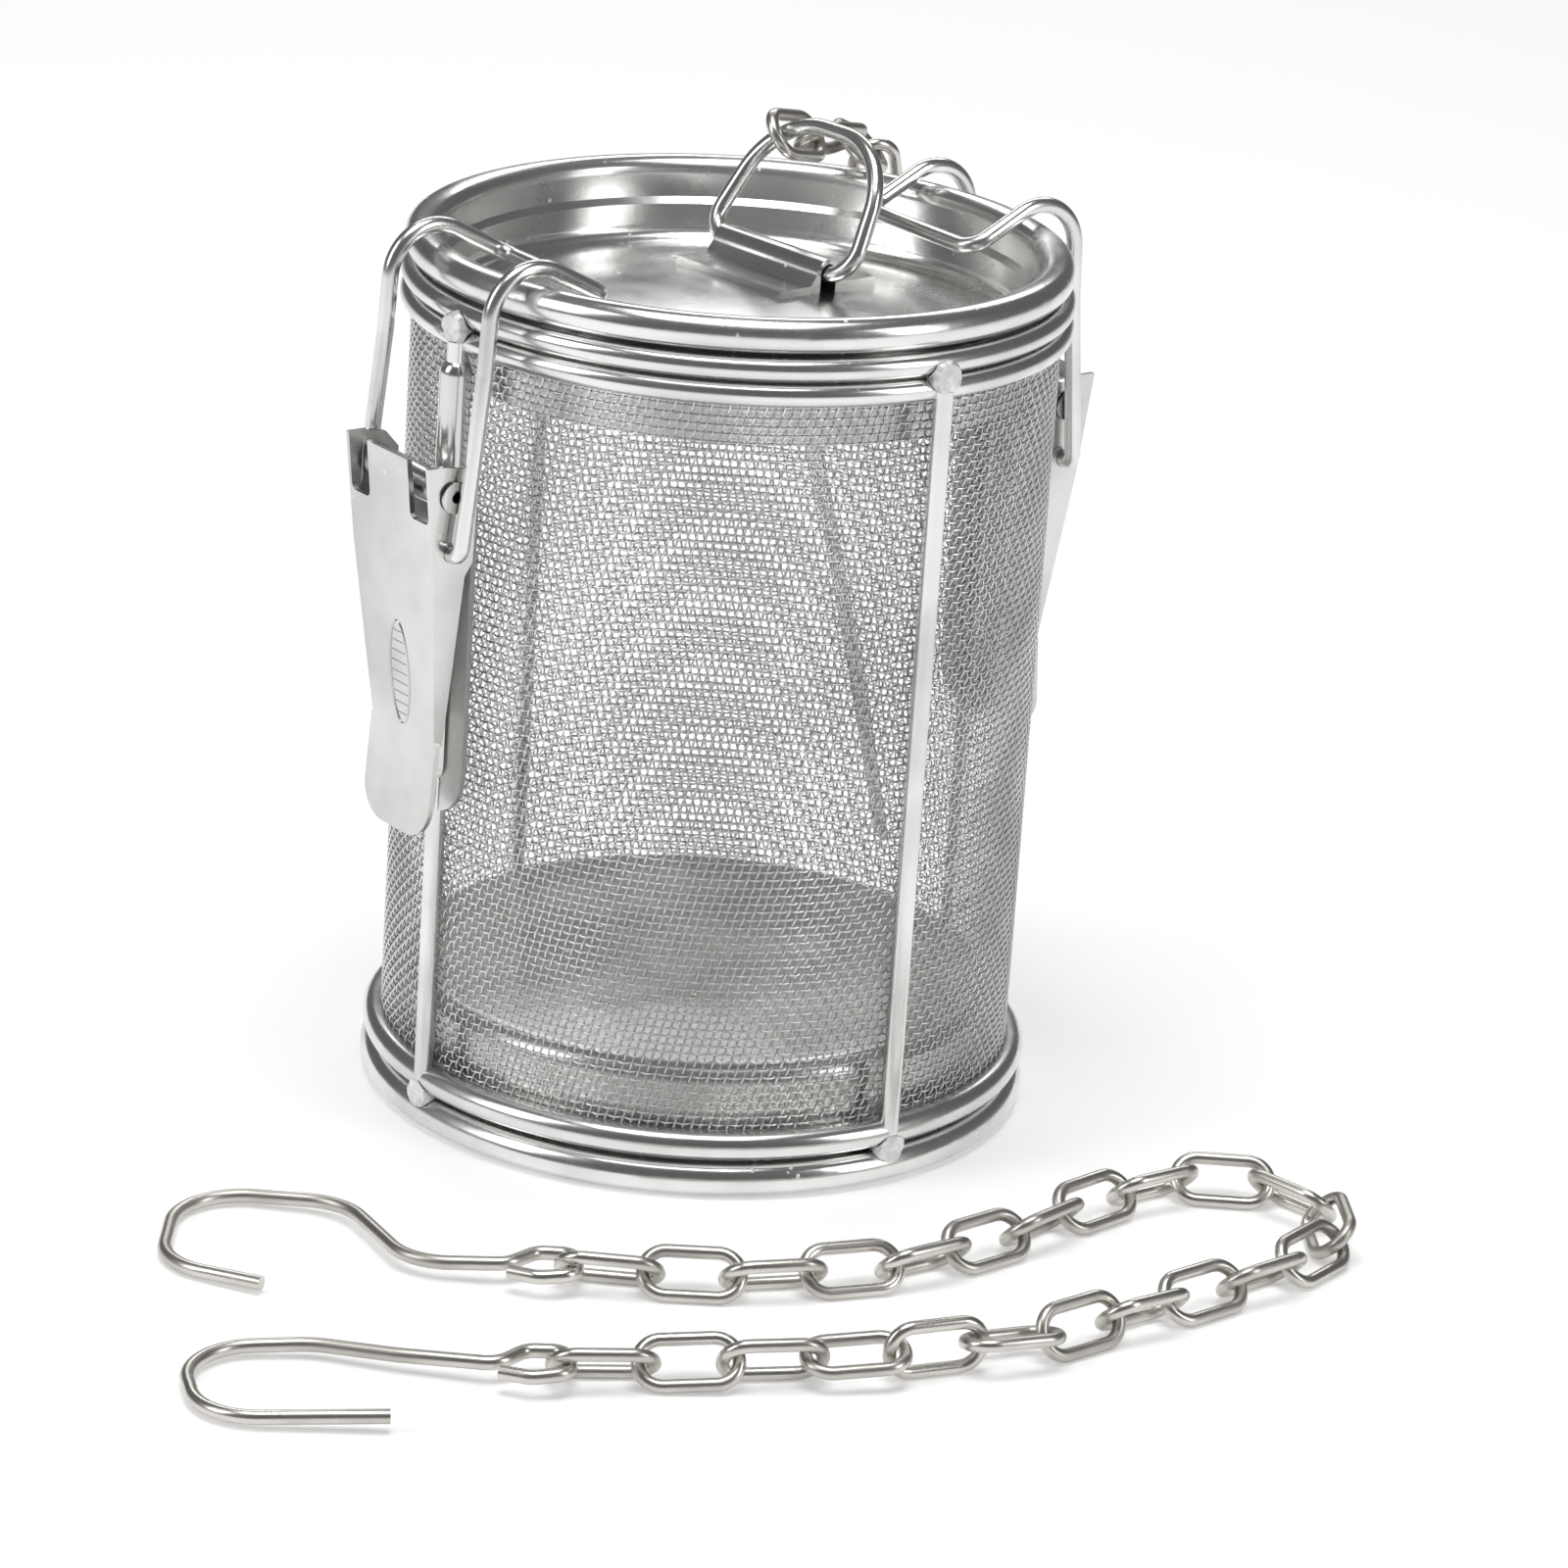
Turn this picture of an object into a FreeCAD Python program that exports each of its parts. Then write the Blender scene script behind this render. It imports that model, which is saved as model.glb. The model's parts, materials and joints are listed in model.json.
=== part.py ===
"""Tea infuser: wire-cloth basket, clamped lid, two toggle latches and two chains (millimetres)."""
import FreeCAD
import Part

import math
import os

V = FreeCAD.Vector
Z_AXIS = V(0, 0, 1)

doc = FreeCAD.newDocument("tea_infuser")
sheet = doc.addObject("Spreadsheet::Sheet", "Dims")

# Every driving size, in millimetres or degrees, with what it measures.
SIZES = [
    ("basket_height", 113.55, "table to the top of the lid's rim"),
    ("cloth_radius", 41.1, "outside of the wire cloth"),
    ("cloth_gap", 0.08, "between the cloth and a latch base"),
    ("cloth_thickness", 0.5, "two crossing wires"),
    ("rim_inset", 1.1, "lid's rolled rim, centre of the roll inside the cloth's outside"),
    ("rim_roll", 2.25, "lid's rolled rim, radius of the roll"),
    ("seat_gap", 0.2, "under the lid's rim"),
    ("hoop_wire", 1.47, "mouth hoops, radius of the wire"),
    ("hoop_gap", 0.22, "between the two mouth hoops"),
    ("foot_outset", 0.2, "base pan's rolled rim, centre of the roll outside the cloth's outside"),
    ("foot_roll", 2.24, "base pan's rolled rim, radius of the roll"),
    ("base_hoop_outset", 0.5, "foot hoop, centre of the wire outside the cloth's outside"),
    ("base_hoop_wire", 1.84, "foot hoop, radius of the wire"),
    ("base_hoop_gap", 0.45, "between the foot hoop and the rolled rim"),
    ("foot_flat", 0.12, "depth of the flat ground under the rolled rim"),
    ("rib_wire", 1.25, "upright ribs, radius of the wire"),
    ("weld_size", 2.3, "weld beads, radius"),
    ("plate", 0.6, "pan sheet"),
    ("pan_step", 0.8, "step half way down the pan walls"),
    ("lid_step_depth", 2.9, "rim centre to the step in the lid's wall"),
    ("lid_edge_depth", 8.8, "rim centre to the edge of the lid's dish"),
    ("lid_crown", 4.5, "rise of the dish from edge to middle"),
    ("skirt_depth", 14.2, "rim centre to the bottom of the plug skirt"),
    ("pan_corner", 2.0, "inner corner of the pans"),
    ("base_step_rise", 4.6, "rolled rim centre to the step in the base wall"),
    ("base_disc_rise", 13.76, "rolled rim centre to the top of the base disc"),
    ("clip_x", 7.5, "ring clip, middle of the tube"),
    ("clip_y", 2.5, "ring clip, middle of its width"),
    ("clip_width", 20.0, "ring clip, along the tube"),
    ("clip_foot", 6.0, "ring clip, each flat foot"),
    ("clip_sheet", 0.7, "ring clip, sheet"),
    ("clip_turn", 5.0, "ring clip, turned about the axis"),
    ("ring_wire", 1.05, "lid ring, radius of the wire"),
    ("ring_play", 0.25, "between the ring's wire and its clip"),
    ("ring_base", 27.6, "lid ring, widest, between wire centres"),
    ("ring_top", 21.0, "lid ring, width at its shoulders"),
    ("ring_height", 17.6, "lid ring, height between wire centres"),
    ("ring_corner", 3.6, "lid ring, radius of its lower corners"),
    ("ring_shoulder", 10.5, "lid ring, radius of its shoulders"),
    ("ring_lean", 30.0, "lid ring, leaning back from upright"),
    ("pivot_outset", 6.9, "latch pivot, out from the cloth's outside"),
    ("pivot_below_top", 25.95, "latch pivot below the top of the rim"),
    ("pivot_radius", 1.25, "hollow rivet, outside"),
    ("head_radius", 2.0, "rivet, radius of its heads"),
    ("head_thick", 0.35, "rivet, thickness of its heads"),
    ("head_gap", 0.1, "between a rivet head and the ear under it"),
    ("rivet_bore", 0.7, "hollow rivet, bore"),
    ("running_gap", 0.06, "radial gap in the pivots"),
    ("knuckle_wall", 0.75, "latch base, wall of the knuckle"),
    ("knuckle_width", 15.4, "latch base, length of the knuckle"),
    ("latch_sheet", 0.7, "latch sheet"),
    ("base_plate_width", 12.0, "latch base, width of the back plate"),
    ("base_plate_top", 29.0, "top of the back plate below the rim's top"),
    ("base_plate_length", 41.0, "latch base, length of the back plate"),
    ("channel_top", 13.5, "top of the rib channel below the rim's top"),
    ("lever_width_top", 18.6, "lever, width over the ears"),
    ("lever_width_low", 13.8, "lever, width at the bend"),
    ("lever_face", 4.0, "lever, outside of the face from the pivot"),
    ("lever_above", 3.9, "lever, top of the face above the pivot"),
    ("lever_length", 37.0, "lever, top of the face to the bend"),
    ("lever_slope", 4.2, "lever, the face comes in by this much at the bend"),
    ("tab_length", 12.5, "lever, thumb tab below the bend"),
    ("tab_width", 14.6, "lever, thumb tab"),
    ("tab_flare", 0.9, "lever, the tab goes out by this much"),
    ("tongue_width", 9.0, "lever, width of face between the notches"),
    ("notch_depth", 7.4, "lever, depth of the notches"),
    ("bail_drop", 7.3, "bail pivot below the latch pivot"),
    ("bail_wire", 1.05, "bail, radius of the wire"),
    ("bail_gap", 0.25, "bail leg, clear of the rivet head beside it"),
    ("bail_crest", 0.9, "bail over the rim's top, clear height"),
    ("bail_bend", 6.3, "bail, radius over the rim"),
    ("bail_slope", 27.0, "bail, tail below level"),
    ("bail_tail", 8.2, "bail, straight tail"),
    ("bail_corner", 2.6, "bail, corner radius"),
    ("link_wire", 0.82, "chain link, radius of the wire"),
    ("link_length", 13.6, "chain link, outside length"),
    ("link_width", 7.4, "chain link, outside width"),
    ("link_gap", 0.36, "play between two links"),
    ("hook_wire", 0.88, "hooks, radius of the wire"),
    ("hook_length", 49.0, "hooks, over all"),
    ("hook_eye", 3.5, "hooks, radius of the eye to the wire's centre"),
]
for row, (alias, value, note) in enumerate(SIZES, start=1):
    sheet.set(f"A{row}", note)
    sheet.set(f"B{row}", str(value))
    sheet.setAlias(f"B{row}", alias)
doc.recompute()
D = {alias: float(sheet.get(alias)) for alias, _, _ in SIZES}


def amount(text):
    """The value of a sum of sizes, such as "basket_height - rim_roll"."""
    total, sign = 0.0, 1
    for word in text.split():
        if word in ("+", "-"):
            sign = 1 if word == "+" else -1
        else:
            total += sign * (D[word] if word in D else float(word))
    return total


def formula(text):
    """The same sum as an expression on the spreadsheet."""
    return " ".join("Dims." + word if word in D else word for word in text.split())


RIM_Z = "basket_height - rim_roll"
HOOP_Z = RIM_Z + " - rim_roll - seat_gap - hoop_wire"
LOW_HOOP_Z = HOOP_Z + " - hoop_wire - hoop_wire - hoop_gap"
BASE_HOOP_Z = "foot_roll + foot_roll + base_hoop_gap + base_hoop_wire"
PIVOT_Z = "basket_height - pivot_below_top"
RIM_R = "cloth_radius - rim_inset"
FOOT_R = "cloth_radius + foot_outset"
BASE_HOOP_R = "cloth_radius + base_hoop_outset"
RIB_X = "cloth_radius + rib_wire"
PIVOT_X = "cloth_radius + pivot_outset"
pieces = []


def keep(obj, label):
    obj.Label = label
    pieces.append(obj)
    return obj


def bound(kind, name, **sums):
    """A Part primitive with each property bound to a sum of sizes."""
    obj = doc.addObject(kind, name)
    for prop, text in sums.items():
        obj.setExpression(prop.replace("__", "."), formula(text))
    return obj


def feature(shape, label):
    """A piece whose shape comes from Part's own functions."""
    obj = doc.addObject("Part::Feature", label)
    obj.Shape = shape
    return keep(obj, label)


def cut(base, tool, name):
    obj = doc.addObject("Part::Cut", name)
    obj.Base = base
    obj.Tool = tool
    return obj


def bound_sketch(body, name, plane_role):
    sketch = body.newObject("Sketcher::SketchObject", name)
    plane = [f for f in body.Origin.OriginFeatures if f.Role == plane_role][0]
    sketch.AttachmentSupport = [(plane, "")]
    sketch.MapMode = "FlatFace"
    return sketch


def fix(sketch, kind, refs, value, text, name):
    """A dimension of a sketch, bound to a sum of sizes."""
    number = sketch.addConstraint(Sketcher.Constraint(kind, *refs, value))
    sketch.renameConstraint(number, name)
    sketch.setExpression("Constraints." + name, formula(text))


def outline(body, name, points, arcs=()):
    """A closed outline in the XZ plane with every corner bound to sums of sizes.

    arcs lists the sides that are arcs with their centre on the axis.
    """
    sketch = bound_sketch(body, name, "XZ_Plane")
    at = [V(amount(x), amount(z), 0) for x, z in points]
    count = len(at)
    first = {}
    for i in range(count):
        a, b = at[i], at[(i + 1) % count]
        first[i] = 1
        if i in arcs:
            level = (a.x**2 + a.y**2 - b.x**2 - b.y**2) / (2 * (a.y - b.y))
            start = math.atan2(a.y - level, a.x)
            end = math.atan2(b.y - level, b.x)
            if end < start:
                start, end = end, start
                first[i] = 2
            circle = Part.Circle(V(0, level, 0), Z_AXIS, a.distanceToPoint(V(0, level, 0)))
            sketch.addGeometry(Part.ArcOfCircle(circle, start, end), False)
        else:
            sketch.addGeometry(Part.LineSegment(a, b), False)
    for i in range(count):
        after = (i + 1) % count
        sketch.addConstraint(Sketcher.Constraint("Coincident", i, 3 - first[i], after, first[after]))
    for i in arcs:
        sketch.addConstraint(Sketcher.Constraint("PointOnObject", i, 3, -2))
    for i, (x, z) in enumerate(points):
        if abs(at[i].x) < 1e-9:
            sketch.addConstraint(Sketcher.Constraint("PointOnObject", i, first[i], -2))
        else:
            fix(sketch, "DistanceX", (-1, 1, i, first[i]), at[i].x, x, f"x{i}")
        fix(sketch, "DistanceY", (-1, 1, i, first[i]), at[i].y, z, f"z{i}")
    return sketch


def turn(body, sketch, name):
    """Revolves a sketch right round the basket's axis."""
    solid = body.newObject("PartDesign::Revolution", name)
    solid.Profile = sketch
    solid.ReferenceAxis = (sketch, ["V_Axis"])
    solid.Angle = 360
    doc.recompute()
    return solid


def roll(body, name, radius, wire, level):
    """A rolled rim: a circle revolved round the axis."""
    sketch = bound_sketch(body, name + "_circle", "XZ_Plane")
    centre = V(amount(radius), amount(level), 0)
    sketch.addGeometry(Part.Circle(centre, Z_AXIS, amount(wire)), False)
    fix(sketch, "DistanceX", (-1, 1, 0, 3), centre.x, radius, "x")
    fix(sketch, "DistanceY", (-1, 1, 0, 3), centre.y, level, "z")
    fix(sketch, "Radius", (0,), amount(wire), wire, "r")
    return turn(body, sketch, name)


def round_edges(body, feature, name, where, size):
    """Fillets the circular edges at the given radii and levels."""
    edges = []
    for number, edge in enumerate(feature.Shape.Edges, start=1):
        if edge.Degenerated or not isinstance(edge.Curve, Part.Circle):
            continue
        for radius, level in where:
            if abs(edge.Curve.Radius - radius) < 1e-4 and abs(edge.Curve.Center.z - level) < 1e-4:
                edges.append(f"Edge{number}")
    fillet = body.newObject("PartDesign::Fillet", name)
    fillet.Base = (feature, edges)
    fillet.setExpression("Radius", formula(size))
    doc.recompute()
    return fillet


# Basket ---------------------------------------------------------------------------------------


def hoop(label, radius, wire, level):
    ring = bound("Part::Torus", label, Radius1=radius, Radius2=wire)
    ring.setExpression("Placement.Base.z", formula(level))
    return keep(ring, label)


upper_hoop = hoop("upper_rim_ring", "cloth_radius", "hoop_wire", HOOP_Z)
lower_hoop = hoop("lower_rim_ring", "cloth_radius", "hoop_wire", LOW_HOOP_Z)
base_hoop = hoop("base_ring", BASE_HOOP_R, "base_hoop_wire", BASE_HOOP_Z)

CLOTH_LOW = BASE_HOOP_Z + " + base_hoop_wire"
CLOTH_TOP = LOW_HOOP_Z + " - hoop_wire"
cloth = []
for name, radius in (("cloth_outside", "cloth_radius"), ("cloth_inside", "cloth_radius - cloth_thickness")):
    drum = bound("Part::Cylinder", name, Radius=radius, Height=CLOTH_TOP + " - " + CLOTH_LOW.replace("+", "-"))
    drum.setExpression("Placement.Base.z", formula(CLOTH_LOW))
    cloth.append(drum)
keep(cut(cloth[0], cloth[1], "cloth_tube"), "mesh_wall")

rib_height = LOW_HOOP_Z + " - " + BASE_HOOP_Z.replace("+", "-")
ribs = []
for angle, label in ((0, "right_rib"), (90, "back_rib"), (180, "left_rib"), (270, "front_rib")):
    wire = bound("Part::Cylinder", label + "_wire", Radius="rib_wire", Height=rib_height)
    turned = f"cos({angle}) * ({formula(RIB_X)})", f"sin({angle}) * ({formula(RIB_X)})"
    wire.setExpression("Placement.Base.x", turned[0])
    wire.setExpression("Placement.Base.y", turned[1])
    wire.setExpression("Placement.Base.z", formula(BASE_HOOP_Z))
    seated = cut(wire, lower_hoop, label + "_under_hoop")
    ribs.append(keep(cut(seated, base_hoop, label + "_on_hoop"), label))

body = doc.addObject("PartDesign::Body", "base_pan_body")
wall_in = FOOT_R + " - foot_roll"
disc_in = wall_in + " - pan_step"
step_z = "foot_roll + base_step_rise"
disc_z = "foot_roll + base_disc_rise"
pan = turn(body, outline(body, "base_pan_outline", [
    (wall_in, "foot_roll"), (wall_in, step_z), (disc_in, step_z + " + pan_step"),
    (disc_in, disc_z + " - plate"), ("0", disc_z + " - plate"), ("0", disc_z),
    (disc_in + " + plate", disc_z), (disc_in + " + plate", step_z + " + pan_step"),
    (wall_in + " + plate", step_z), (wall_in + " + plate", "foot_roll")]), "base_pan_wall")
pan = roll(body, "base_pan_rim", FOOT_R, "foot_roll", "foot_roll")
pan = round_edges(body, pan, "base_pan_inner_corner",
                  [(amount(disc_in), amount(disc_z + " - plate"))], "pan_corner")
pan = round_edges(body, pan, "base_pan_outer_corner",
                  [(amount(disc_in + " + plate"), amount(disc_z))], "pan_corner + plate")
doc.recompute()
ground = bound("Part::Cylinder", "ground_flat", Radius=FOOT_R + " + foot_roll", Height="foot_flat")
base_pan = keep(cut(body, ground, "base_pan_ground"), "base_pan")


# Weld beads: one at each end of each rib, shaped to what they join.


def beads(label, level, radius, joined):
    shapes = []
    for angle in (0, 90, 180, 270):
        bead = Part.makeSphere(D["weld_size"])
        bead.translate(V(radius, 0, level))
        bead.rotate(V(0, 0, 0), Z_AXIS, angle)
        bead = bead.common(Part.makeCylinder(radius + 1.3, 200)).cut(inside_cloth)
        for other in joined:
            bead = bead.cut(other.Shape)
        shapes += bead.Solids
    return feature(Part.makeCompound(shapes), label)


doc.recompute()
inside_cloth = Part.makeCylinder(D["cloth_radius"] + D["cloth_gap"], 2 * D["basket_height"])
beads("top_welds", amount(HOOP_Z) - D["hoop_wire"], amount(RIB_X), [upper_hoop, lower_hoop] + ribs)
beads("base_welds", amount(BASE_HOOP_Z) - D["base_hoop_wire"], amount(RIB_X), [base_hoop, base_pan] + ribs)

# Lid ------------------------------------------------------------------------------------------

body = doc.addObject("PartDesign::Body", "lid_pan_body")
mouth = RIM_R + " - rim_roll"
dish = mouth + " - pan_step"
step_z = RIM_Z + " - lid_step_depth"
edge_z = RIM_Z + " - lid_edge_depth"
crown_z = edge_z + " + lid_crown"
turn(body, outline(body, "lid_pan_outline", [
    (mouth, RIM_Z), (mouth, step_z), (dish, step_z + " - pan_step"), (dish, edge_z),
    ("0", crown_z), ("0", crown_z + " - plate"), (dish + " + plate", edge_z + " - plate"),
    (dish + " + plate", step_z + " - pan_step"), (mouth + " + plate", step_z),
    (mouth + " + plate", RIM_Z)], arcs=(3, 5)), "lid_pan_dish")
lid = roll(body, "lid_pan_rim", RIM_R, "rim_roll", RIM_Z)
lid = round_edges(body, lid, "lid_pan_corner", [(amount(dish), amount(edge_z))], "pan_corner")
keep(body, "lid_pan")

body = doc.addObject("PartDesign::Body", "lid_skirt_body")
skirt_in = dish + " + plate"
skirt_z = RIM_Z + " - skirt_depth"
turn(body, outline(body, "lid_skirt_outline", [
    (skirt_in, step_z + " - pan_step - plate"), (skirt_in, skirt_z + " + plate"),
    (skirt_in + " - pan_step - plate", skirt_z + " + plate"),
    (skirt_in + " - pan_step - plate", skirt_z), (skirt_in + " + plate", skirt_z),
    (skirt_in + " + plate", step_z + " - pan_step - plate")]), "lid_skirt_wall")
keep(body, "lid_skirt")

# Bent wires -----------------------------------------------------------------------------------


def rounded(points, bends, closed=False):
    """Straight runs joined by tangent arcs; bends holds a radius for each turned corner."""
    count = len(points)
    corners = range(count) if closed else range(1, count - 1)
    starts, ends, middles = {}, {}, {}
    for i in corners:
        here, before, after = points[i], points[i - 1], points[(i + 1) % count]
        back, on = (before - here).normalize(), (after - here).normalize()
        half = back.getAngle(on) / 2
        radius = bends[i % len(bends)] if isinstance(bends, (list, tuple)) else bends
        reach = radius / math.tan(half)
        centre = here + (back + on).normalize() * (radius / math.sin(half))
        starts[i], ends[i] = here + back * reach, here + on * reach
        middles[i] = centre + (here - centre).normalize() * radius
    edges = []
    at = ends[count - 1] if closed else points[0]
    for i in corners:
        if at.distanceToPoint(starts[i]) > 1e-6:
            edges.append(Part.LineSegment(at, starts[i]).toShape())
        edges.append(Part.Arc(starts[i], middles[i], ends[i]).toShape())
        at = ends[i]
    if not closed and at.distanceToPoint(points[-1]) > 1e-6:
        edges.append(Part.LineSegment(at, points[-1]).toShape())
    return Part.Wire(edges)


def wire_solid(path, radius):
    """A round wire along a path."""
    first = path.OrderedEdges[0]
    start = first.valueAt(first.FirstParameter)
    ahead = first.tangentAt(first.FirstParameter)
    section = Part.Wire([Part.makeCircle(radius, start, ahead)])
    return path.makePipeShell([section], True, True)


def prism(points, width):
    """A flat outline in XZ, as thick as width, centred on the XZ plane."""
    face = Part.Face(Part.makePolygon([V(x, -width / 2, z) for x, z in points + points[:1]]))
    return face.extrude(V(0, width, 0))


def bar(radius, width, x, z):
    """A round bar along Y, centred on the XZ plane."""
    return Part.makeCylinder(radius, width, V(x, -width / 2, z), V(0, 1, 0))


# Ring clip and lid ring -----------------------------------------------------------------------

RING_R = D["ring_wire"]
TUBE_IN = RING_R + D["ring_play"]
TUBE_OUT = TUBE_IN + D["clip_sheet"]
dish_radius = (amount(dish) ** 2 + D["lid_crown"] ** 2) / (2 * D["lid_crown"])
clip_reach = math.hypot(D["clip_x"], D["clip_y"])
crown_fall = dish_radius - math.sqrt(dish_radius**2 - clip_reach**2)
FLOOR = amount(crown_z) - crown_fall
RING_Z = FLOOR + D["clip_sheet"] + TUBE_IN + 0.2


def turned_clip(shape):
    """From the clip's own place to its place on the dish."""
    shape.rotate(V(0, 0, 0), Z_AXIS, D["clip_turn"])
    shape.translate(V(D["clip_x"], D["clip_y"], 0))
    return shape


foot = TUBE_OUT + D["clip_foot"]
sheet_z = RING_Z - TUBE_IN - D["clip_sheet"] + 0.1
clip = bar(TUBE_OUT, D["clip_width"], 0, RING_Z)
clip = clip.fuse(prism([(-TUBE_OUT, RING_Z), (TUBE_OUT, RING_Z), (TUBE_OUT + 0.9, sheet_z + 0.7),
                        (foot, sheet_z + D["clip_sheet"]), (foot, FLOOR - 1.6), (-foot, FLOOR - 1.6),
                        (-foot, sheet_z + D["clip_sheet"]), (-TUBE_OUT - 0.9, sheet_z + 0.7)],
                       D["clip_width"]))
clip = clip.cut(bar(TUBE_IN, 2 * D["clip_width"], 0, RING_Z))
clip = clip.cut(prism([(-TUBE_IN, RING_Z), (TUBE_IN, RING_Z), (TUBE_IN, FLOOR - 3), (-TUBE_IN, FLOOR - 3)],
                      2 * D["clip_width"]))
clip = turned_clip(clip)
doc.recompute()
dish_ball = Part.makeSphere(dish_radius, V(0, 0, amount(crown_z) - dish_radius))
clip = clip.cut(dish_ball)
feature(clip, "ring_clip")

half_base, half_top = D["ring_base"] / 2, D["ring_top"] / 2
ring_path = rounded([V(0, -half_base, 0), V(0, half_base, 0), V(0, half_top, D["ring_height"]),
                     V(0, -half_top, D["ring_height"])],
                    [D["ring_corner"], D["ring_corner"], D["ring_shoulder"], D["ring_shoulder"]], closed=True)


def leaned(shape):
    """From the ring's own plane to its place, held by the clip and leaning back."""
    shape.rotate(V(0, 0, 0), V(0, 1, 0), D["ring_lean"])
    shape.translate(V(0, 0, RING_Z))
    return turned_clip(shape)


feature(leaned(wire_solid(ring_path, RING_R)), "lid_ring")
shoulders = [e for e in ring_path.Edges if isinstance(e.Curve, Part.Circle) and e.CenterOfMass.y > 0
             and e.CenterOfMass.z > D["ring_height"] / 2]
shoulder = shoulders[0]
middle = (shoulder.FirstParameter + shoulder.LastParameter) / 2
ON_RING = leaned(Part.Vertex(shoulder.valueAt(middle))).Point

# Latches --------------------------------------------------------------------------------------

PX, PZ = amount(PIVOT_X), amount(PIVOT_Z)
TOP = D["basket_height"]
SHEET = D["latch_sheet"]
RIB_OUT = amount(RIB_X) + D["rib_wire"]
EAR_IN = D["lever_width_top"] / 2 - SHEET
FACE = PX + D["lever_face"]
FACE_TOP = PZ + D["lever_above"]
BEND_Z = FACE_TOP - D["lever_length"]
BEND_X = FACE - D["lever_slope"]
BAIL_Z = PZ - D["bail_drop"]
HOLE = D["bail_wire"] + D["running_gap"]
PIN_END = D["lever_width_top"] / 2 + D["head_gap"] + D["head_thick"]


def latch_base():
    """Back plate, rib channel and knuckle, with the strap that joins them."""
    plate_top = TOP - D["base_plate_top"]
    plate_low = plate_top - D["base_plate_length"]
    half = D["base_plate_width"] / 2
    back_in = RIB_OUT - 1.4
    channel_r = D["rib_wire"] + 0.1 + SHEET
    plate = Part.makeBox(SHEET, 2 * half, plate_top - plate_low, V(back_in, -half, plate_low))
    end = Part.makeCylinder(half, 4 * SHEET, V(back_in - SHEET, 0, plate_low + half), V(1, 0, 0))
    below = Part.makeBox(4 * SHEET, 2 * half, half, V(back_in - SHEET, -half, plate_low))
    plate = plate.cut(below.cut(end))
    channel_top = TOP - D["channel_top"]
    channel = Part.makeCylinder(channel_r, channel_top - plate_low - half, V(amount(RIB_X), 0, plate_low + half))
    cap = Part.makeSphere(channel_r, V(amount(RIB_X), 0, channel_top))
    foot_cap = Part.makeSphere(channel_r, V(amount(RIB_X), 0, plate_low + half))
    knuckle_r = D["pivot_radius"] + D["running_gap"] + D["knuckle_wall"]
    knuckle = bar(knuckle_r, D["knuckle_width"], PX, PZ)
    strap = prism([(PX - knuckle_r, PZ), (PX - knuckle_r + SHEET, PZ),
                   (back_in + 2.2 * SHEET, plate_top - 6.0), (back_in, plate_top - 6.0),
                   (back_in, plate_top - 3.0)], D["base_plate_width"])
    shape = plate.fuse([channel, cap, foot_cap, knuckle, strap])
    shape = shape.cut(bar(D["pivot_radius"] + D["running_gap"], 30, PX, PZ))
    shape = shape.cut(Part.makeCylinder(D["cloth_radius"] + D["cloth_gap"], 2 * TOP))
    for rib in ribs:
        shape = shape.cut(rib.Shape)
    return shape.removeSplitter()


def pivot_pin():
    """Hollow rivet with a rolled head outside each ear."""
    length = 2 * PIN_END
    pin = bar(D["pivot_radius"], length, PX, PZ)
    for side in (-1, 1):
        head = Part.makeCylinder(D["head_radius"], D["head_thick"], V(PX, side * PIN_END, PZ), V(0, -side, 0))
        pin = pin.fuse(head)
    return pin.cut(bar(D["rivet_bore"], 2 * length, PX, PZ))


def channel_block(inset, reach):
    """The lever's solid envelope, narrower towards the bend."""
    wires = []
    for x, z, width in ((FACE, FACE_TOP + 1, D["lever_width_top"]), (FACE, PZ - 10, D["lever_width_top"] - 0.6),
                        (BEND_X, BEND_Z, D["lever_width_low"])):
        run = (FACE_TOP - z) / D["lever_length"]
        face = FACE - D["lever_slope"] * run - inset
        half = width / 2 - inset
        wires.append(Part.makePolygon([V(face, -half, z), V(face, half, z), V(face - reach, half, z),
                                       V(face - reach, -half, z), V(face, -half, z)]))
    return Part.makeLoft(wires, True, True)


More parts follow.
